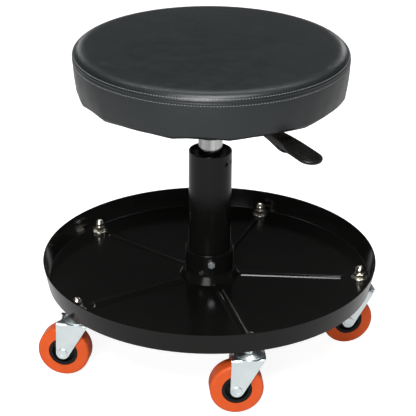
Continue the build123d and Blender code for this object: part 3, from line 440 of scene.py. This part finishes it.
# Waves round the seat, each with its count, phase and height
DRAPE_WAVES = ((5, 0.4, 0.30), (8, 1.9, 0.24), (13, 0.7, 0.16), (21, 2.6, 0.10), (34, 1.1, 0.06))
DIP_WAVES = ((2, 0.8, 0.5), (3, 2.1, 0.35), (5, 4.0, 0.2))
PLEAT_WAVES = ((47, 0.3, 0.4), (61, 1.2, 0.3), (29, 2.0, 0.3))


def seat_points():
    """Grid of the cushion's outer points, rows along the profile and columns round the seat."""
    profile, from_seam = seat_profile()
    angle = np.linspace(0, 2 * math.pi, AROUND, endpoint=False)
    tangent = np.gradient(profile, axis=0)
    tangent /= np.linalg.norm(tangent, axis=1)[:, None]
    normal = np.stack([-tangent[:, 1], tangent[:, 0]], axis=1)
    if normal[5, 1] < 0:
        normal = -normal
    relief = (
        -SEAM_GROOVE * np.exp(-((from_seam / SEAM_GROOVE_WIDTH) ** 2))
        + SEAM_PUFF * np.exp(-(((np.abs(from_seam) - SEAM_PUFF_OFFSET) / SEAM_PUFF_WIDTH) ** 2))
        - STITCH_DIMPLE * np.exp(-(((np.abs(from_seam) - STITCH_OFFSET) / STITCH_DIMPLE_WIDTH) ** 2))
    )
    seam_height = SEAT_HIGH.z - SEAM_DROP
    down = np.clip((seam_height - profile[:, 1]) / (seam_height - SEAT_LOW.z), 0, 1)
    on_band = np.where(from_seam > 0, np.sin(down * math.pi) ** 0.5, 0)
    low = np.where(from_seam > 0, np.clip((down - 0.45) / 0.55, 0, 1) ** 1.5, 0)
    on_top = np.clip((-from_seam - TOP_DIP_START) / TOP_DIP_FADE, 0, 1)
    on_top *= np.clip(profile[:, 0] / TOP_DIP_MIDDLE, 0, 1)
    pulls = pull_pattern(angle)
    out = (
        relief[:, None]
        + (on_band * BAND_DRAPE)[:, None] * waves(angle, DRAPE_WAVES)[None, :]
        + (low * HEM_PULL)[:, None] * (pulls - HEM_PULL_MEAN)[None, :]
        + (on_top * TOP_DIP)[:, None] * waves(angle, DIP_WAVES)[None, :]
    )
    radius = profile[:, 0][:, None] + normal[:, 0][:, None] * out
    height = profile[:, 1][:, None] + normal[:, 1][:, None] * out
    scallop = np.where(from_seam > 0, np.clip((down - 0.55) / 0.45, 0, 1) ** 2, 0)
    under = np.where((profile[:, 0] < BOARD_RADIUS - BOARD_EDGE_MARGIN) & (from_seam > 0), 1.0, 0.0)
    on_hem = under * np.clip((BOARD_RADIUS - profile[:, 0]) / (BOARD_RADIUS - HEM_INNER), 0, 1)
    height = height + (scallop * (1 - under) * HEM_SCALLOP)[:, None] * (1 - pulls)[None, :]
    height = np.where((from_seam > 0)[:, None], np.maximum(height, SEAT_LOW.z - UNDERSIDE_SAG), height)
    height = height - (on_hem * PLEAT_DEPTH)[:, None] * np.maximum(waves(angle, PLEAT_WAVES), 0)[None, :]
    return np.stack([radius * np.cos(angle), radius * np.sin(angle), height], axis=2), from_seam


def make_cushion():
    """Closed cushion with a recess for the board. Gives its points and each row's distance past the seam."""
    grid, from_seam = seat_points()
    rows = len(grid)
    vertices = [Vector((0, 0, SEAT_HIGH.z))]
    vertices += [Vector(p) for row in grid for p in row]
    faces = [(0, 1 + step, 1 + (step + 1) % AROUND) for step in range(AROUND)]
    angle = np.linspace(0, 2 * math.pi, AROUND, endpoint=False)
    recess = (
        (HEM_INNER, SEAT_LOW.z + HEM_THICKNESS),
        (BOARD_RADIUS + BOARD_EDGE_GAP, SEAT_LOW.z + HEM_THICKNESS),
        (BOARD_RADIUS + BOARD_EDGE_GAP, BOARD_HIGH.z + BOARD_GAP),
    )
    for radius, height in recess:
        vertices += [Vector((radius * math.cos(a), radius * math.sin(a), height)) for a in angle]
    faces += [tuple(reversed(face)) for face in ring_faces(rows + len(recess), AROUND, 1)]
    last = 1 + (rows + len(recess) - 1) * AROUND
    vertices.append(Vector((0, 0, BOARD_HIGH.z + BOARD_GAP)))
    middle = len(vertices) - 1
    faces += [(middle, last + (step + 1) % AROUND, last + step) for step in range(AROUND)]
    cushion = mesh_piece("seat_cushion", vertices, faces, MATERIALS["vinyl"], "seat")
    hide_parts("seat_cover", "seat_foam")
    return grid, from_seam


seat_grid, seat_from_seam = make_cushion()

# Stitching: two rows of thread, one each side of the seam
STITCH_PITCH = 3.4 * MM
STITCH_LENGTH = 2.4 * MM
THREAD_RADIUS = 0.55 * MM
THREAD_SINK = 0.12 * MM
THREAD_SIDES = 6
THREAD_STATIONS = ((-0.5, 0.25), (-0.42, 0.75), (-0.25, 1.0), (0.25, 1.0), (0.42, 0.75), (0.5, 0.25))

# Thread tone set pale grey so the stitches show as bright dashes: partly the thread's own grey, partly
# painted highlight.
thread = surface(
    "thread",
    lambda s: s.mix(s.noise(400.0, 2.0), (0.10, 0.106, 0.11), (0.17, 0.178, 0.18)),
    0.6,
    normal=lambda s: s.bump(s.noise(2600.0, 2.0), 0.0001),
)


def row_at(distance):
    """Closed line of points on the cushion at a distance from the seam, with the surface's normals."""
    upper = np.searchsorted(seat_from_seam, distance)
    share = (distance - seat_from_seam[upper - 1]) / (seat_from_seam[upper] - seat_from_seam[upper - 1])
    points = seat_grid[upper - 1] * (1 - share) + seat_grid[upper] * share
    along = np.roll(points, -1, axis=0) - np.roll(points, 1, axis=0)
    across = seat_grid[upper] - seat_grid[upper - 1]
    normals = np.cross(across, along)
    normals /= np.linalg.norm(normals, axis=1)[:, None]
    if normals[0] @ points[0] < 0:
        normals = -normals
    return points, normals


def make_stitching():
    """Short spindle of thread for each stitch, sunk a little into the cover."""
    vertices, faces = [], []
    for distance in (-STITCH_OFFSET, STITCH_OFFSET):
        points, normals = row_at(distance)
        count = int(2 * math.pi * SEAT_RADIUS / STITCH_PITCH)
        for stitch in range(count):
            at = stitch / count * AROUND
            index = int(at)
            share = at - index
            following = (index + 1) % AROUND
            centre = Vector(points[index] * (1 - share) + points[following] * share)
            out = Vector(normals[index] * (1 - share) + normals[following] * share).normalized()
            run = Vector(points[following] - points[index]).normalized()
            side = out.cross(run)
            first = len(vertices)
            for place, size in THREAD_STATIONS:
                sunk = THREAD_SINK + (1 - size) * THREAD_RADIUS
                middle = centre + run * place * STITCH_LENGTH - out * sunk
                for corner in range(THREAD_SIDES):
                    turn = corner / THREAD_SIDES * 2 * math.pi
                    reach = THREAD_RADIUS * size
                    vertices.append(middle + out * (reach * math.sin(turn)) + side * (reach * math.cos(turn)))
            faces += ring_faces(len(THREAD_STATIONS), THREAD_SIDES, first)
            last = first + (len(THREAD_STATIONS) - 1) * THREAD_SIDES
            faces.append(tuple(first + c for c in reversed(range(THREAD_SIDES))))
            faces.append(tuple(last + c for c in range(THREAD_SIDES)))
    mesh_piece("seat_stitching", vertices, faces, thread, "seat")


make_stitching()


# Staples that hold the hem under the board
STAPLE_COUNT = 40
STAPLE_RADIUS = 132.0 * MM
STAPLE_LENGTH = 10.0 * MM
STAPLE_WIRE = 0.55 * MM
STAPLE_SIDES = 6
STAPLE_HANG = 0.7 * MM
# Stations along a staple: share of its length, and how far its bent ends rise into the hem
STAPLE_STATIONS = ((-0.5, 1.4 * MM), (-0.42, 0.0), (0.42, 0.0), (0.5, 1.4 * MM))


def make_staples():
    """Ring of staples, none quite straight or quite in its place."""
    vertices, faces = [], []
    for staple in range(STAPLE_COUNT):
        turn = (staple + 0.22 * math.sin(7.1 * staple)) / STAPLE_COUNT * 2 * math.pi
        tilt = turn + 0.12 * math.sin(3.3 * staple)
        out = Vector((math.cos(turn), math.sin(turn), 0))
        run = Vector((-math.sin(tilt), math.cos(tilt), 0))
        across = Vector((math.cos(tilt), math.sin(tilt), 0))
        middle = out * STAPLE_RADIUS + Vector((0, 0, SEAT_LOW.z - STAPLE_HANG))
        first = len(vertices)
        for place, lift in STAPLE_STATIONS:
            for corner in range(STAPLE_SIDES):
                angle = corner / STAPLE_SIDES * 2 * math.pi
                vertices.append(
                    middle + run * place * STAPLE_LENGTH + across * (STAPLE_WIRE * math.cos(angle))
                    + Vector((0, 0, lift + STAPLE_WIRE * math.sin(angle)))
                )
        last = first + (len(STAPLE_STATIONS) - 1) * STAPLE_SIDES
        faces += ring_faces(len(STAPLE_STATIONS), STAPLE_SIDES, first)
        faces.append(tuple(first + c for c in reversed(range(STAPLE_SIDES))))
        faces.append(tuple(last + c for c in range(STAPLE_SIDES)))
    mesh_piece("seat_staples", vertices, faces, MATERIALS["zinc"], "seat")


make_staples()


# Paddle: smooth grip that swells to a knee and flattens to a dished blade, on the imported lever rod
LEVER_ANGLE = -52.0 * DEG
LEVER_SLOPE = 7.0 * DEG
BEND_PLACE = 50.0 * MM
BEND_HEIGHT = 302.6 * MM
ROD_RADIUS = 4.55 * MM
ROD_DEPTH = 30.3 * MM
TIP_CENTRE = 173.0
TIP_RADIUS = 13.6
PADDLE_SIDES = 64
PADDLE_SQUARENESS = 2 / 3
# Each row, in millimetres: place from the column's axis, reach to the far side and to the near side,
# height over the rod's line and depth under it
PADDLE_ROWS = (
    (86.0, 6.2, 6.6, 5.4, 5.6),
    (87.5, 6.6, 7.2, 6.0, 6.2),
    (94.0, 6.7, 7.4, 6.2, 6.5),
    (114.0, 6.9, 8.0, 6.4, 8.5),
    (126.0, 8.2, 9.0, 6.6, 10.5),
    (132.0, 9.6, 9.6, 6.4, 10.9),
    (138.0, 11.2, 10.2, 5.6, 10.0),
    (144.0, 12.6, 11.6, 4.6, 7.0),
    (150.0, 13.4, 12.8, 3.8, 4.8),
    (160.0, 13.8, 14.0, 3.2, 3.1),
    (172.0, 13.8, 14.4, 3.0, 3.0),
    (180.0, 13.8, 14.4, 3.0, 2.9),
)
DISH_CENTRE = 165.0
DISH_REACH = 21.0
DISH_HALF = 11.0
DISH_DEPTH = 2.2


def flowing(places, values, at):
    """Values at new places along a smooth curve through the given ones."""
    slopes = np.gradient(values, places)
    upper = np.clip(np.searchsorted(places, at), 1, len(places) - 1)
    lower = upper - 1
    gap = places[upper] - places[lower]
    share = (at - places[lower]) / gap
    return (
        values[lower] * (2 * share**3 - 3 * share**2 + 1) + values[upper] * (3 * share**2 - 2 * share**3)
        + gap * (slopes[lower] * (share**3 - 2 * share**2 + share) + slopes[upper] * (share**3 - share**2))
    )


def make_paddle():
    """Closed grip, lofted through rounded sections, with a blind hole for the rod."""
    rows = np.array(PADDLE_ROWS)
    body_places = np.linspace(rows[0, 0], TIP_CENTRE, 110)
    tip_places = TIP_CENTRE + TIP_RADIUS * np.sin(np.linspace(0, math.pi / 2, 26)[1:] * 0.995)
    places = np.concatenate([body_places, tip_places])
    within_rows = np.minimum(places, rows[-1, 0])
    far, near, top, bottom = (flowing(rows[:, 0], column, within_rows) for column in rows[:, 1:].T)
    past = np.clip((places - TIP_CENTRE) / TIP_RADIUS, 0, 1)
    narrow = np.sqrt(1 - past**2)
    thin = np.clip(1 - past**2, 0, 1) ** 0.22
    level = Vector((math.cos(LEVER_ANGLE), math.sin(LEVER_ANGLE), 0))
    upright = Vector((0, 0, 1))
    along = level * math.cos(LEVER_SLOPE) - upright * math.sin(LEVER_SLOPE)
    up = level * math.sin(LEVER_SLOPE) + upright * math.cos(LEVER_SLOPE)
    side = up.cross(along)
    bend = level * BEND_PLACE + upright * BEND_HEIGHT
    turns = [2 * math.pi * c / PADDLE_SIDES for c in range(PADDLE_SIDES)]
    start = rows[0, 0] * MM - BEND_PLACE

    def bore_ring(place):
        """Points of the rod's hole at a place along the lever."""
        return [
            bend + along * place + side * (ROD_RADIUS * math.cos(t)) + up * (ROD_RADIUS * math.sin(t))
            for t in turns
        ]

    vertices = [bend + along * (start + ROD_DEPTH)]
    vertices += bore_ring(start + ROD_DEPTH) + bore_ring(start)
    for index, place in enumerate(places):
        for turn in turns:
            cosine, sine = math.cos(turn), math.sin(turn)
            half_width = (far if cosine > 0 else near)[index] * narrow[index]
            half_height = (top if sine > 0 else bottom)[index] * thin[index]
            x = half_width * math.copysign(abs(cosine) ** PADDLE_SQUARENESS, cosine)
            y = half_height * math.copysign(abs(sine) ** PADDLE_SQUARENESS, sine)
            if sine > 0:
                from_dish = ((place - DISH_CENTRE) / DISH_REACH) ** 2 + (x / DISH_HALF) ** 2
                y -= DISH_DEPTH * max(0.0, 1 - from_dish) ** 0.7
            vertices.append(bend + along * (place * MM - BEND_PLACE) + side * (x * MM) + up * (y * MM))
    rings = len(places) + 2
    vertices.append(bend + along * ((TIP_CENTRE + TIP_RADIUS) * MM - BEND_PLACE))
    faces = [(0, 1 + (c + 1) % PADDLE_SIDES, 1 + c) for c in range(PADDLE_SIDES)]
    faces += [tuple(reversed(face)) for face in ring_faces(rings, PADDLE_SIDES, 1)]
    last = 1 + (rings - 1) * PADDLE_SIDES
    faces += [(len(vertices) - 1, last + c, last + (c + 1) % PADDLE_SIDES) for c in range(PADDLE_SIDES)]
    finish = "paddle_plastic"
    paddle = mesh_piece("lever_paddle_smooth", vertices, faces, MATERIALS[finish], "lever")
    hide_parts("lever_paddle")


make_paddle()


# Stage: pale floor and soft studio light
FLOOR_RADIUS = 9.0
FLOOR_GLOW = 0.9
MIRRORED_GLOW = 0.14


def make_stage():
    """Floor that looks white to the camera, keeps the stool's shadow and is dimmer in mirrored light."""
    white = bpy.data.materials.new("floor")
    white.use_nodes = True
    shader = Shader(white.node_tree)
    output = shader.node("ShaderNodeOutputMaterial")
    diffuse = shader.node("ShaderNodeBsdfDiffuse")
    diffuse.inputs["Color"].default_value = (0.5, 0.5, 0.5, 1)
    glow = shader.node("ShaderNodeEmission")
    glow.inputs["Color"].default_value = (1, 1, 1, 1)
    rays = shader.node("ShaderNodeLightPath")
    direct = shader.maths("MAXIMUM", rays.outputs["Is Camera Ray"], rays.outputs["Is Transmission Ray"])
    direct = shader.maths("MULTIPLY", direct, FLOOR_GLOW)
    mirrored = shader.maths("MULTIPLY", rays.outputs["Is Glossy Ray"], MIRRORED_GLOW)
    shader.link(shader.maths("ADD", direct, mirrored), glow.inputs["Strength"])
    both = shader.node("ShaderNodeAddShader")
    shader.link(diffuse.outputs[0], both.inputs[0])
    shader.link(glow.outputs[0], both.inputs[1])
    shader.link(both.outputs[0], output.inputs["Surface"])
    corners = 96
    turns = [2 * math.pi * c / corners for c in range(corners)]
    data = bpy.data.meshes.new("floor")
    edge = [(FLOOR_RADIUS * math.cos(t), FLOOR_RADIUS * math.sin(t), 0) for t in turns]
    data.from_pydata(edge, [], [tuple(range(corners))])
    data.materials.append(white)
    floor = bpy.data.objects.new("floor", data)
    bpy.context.scene.collection.objects.link(floor)


def make_world():
    """White for the camera. For the object, pale low down, dim above that and brighter overhead."""
    world = bpy.data.worlds.new("studio")
    world.use_nodes = True
    bpy.context.scene.world = world
    shader = Shader(world.node_tree)
    output = shader.node("ShaderNodeOutputWorld")
    background = shader.node("ShaderNodeBackground")
    place = shader.node("ShaderNodeTexCoord")
    split = shader.node("ShaderNodeSeparateXYZ")
    shader.link(place.outputs["Generated"], split.inputs["Vector"])
    ramp = shader.node("ShaderNodeValToRGB")
    ramp.color_ramp.interpolation = "EASE"
    stops = ((0.0, 0.42), (0.08, 0.36), (0.21, 0.05), (0.62, 0.05), (0.9, 0.22))
    elements = ramp.color_ramp.elements
    while len(elements) < len(stops):
        elements.new(0.5)
    for element, (place_on, grey) in zip(elements, stops):
        element.position = place_on
        element.color = (grey, grey, grey, 1)
    shader.link(split.outputs["Z"], ramp.inputs["Fac"])
    rays = shader.node("ShaderNodeLightPath")
    level = shader.maths("MAXIMUM", ramp.outputs["Color"], rays.outputs["Is Camera Ray"])
    background.inputs["Color"].default_value = (1, 1, 1, 1)
    shader.link(level, background.inputs["Strength"])
    shader.link(background.outputs["Background"], output.inputs["Surface"])


def soft_box(name, place, aim, width, height, power):
    """Soft oval lamp at a place, turned towards its aim. The camera doesn't see it."""
    data = bpy.data.lights.new(name, "AREA")
    data.shape = "ELLIPSE"
    data.size, data.size_y = width, height
    data.energy = power
    lamp = bpy.data.objects.new(name, data)
    bpy.context.scene.collection.objects.link(lamp)
    lamp.visible_camera = False
    lamp.location = place
    lamp.rotation_euler = (Vector(aim) - Vector(place)).to_track_quat("-Z", "Y").to_euler()


make_stage()
make_world()
soft_box("overhead_box", (0.05, -0.44, 1.95), (0, 0, 0.3), 1.0, 0.8, 24.0)
soft_box("key_box", (-0.25, -1.6, 1.75), (0, 0, 0.3), 1.0, 0.6, 46.0)
soft_box("back_right_strip", (0.85, 2.4, 0.95), (0, 0, 0.1), 0.3, 0.55, 2.2)
soft_box("back_left_strip", (-0.85, 2.4, 0.95), (0, 0, 0.1), 0.3, 0.55, 1.6)
soft_box("back_strip", (0.0, 0.85, 1.7), (0, 0.1, 0.1), 1.7, 0.25, 6.0)
soft_box("front_box", (-0.5, -2.6, 0.75), (0, 0, 0.2), 1.8, 1.1, 34.0)

bpy.context.scene.view_settings.view_transform = "Standard"
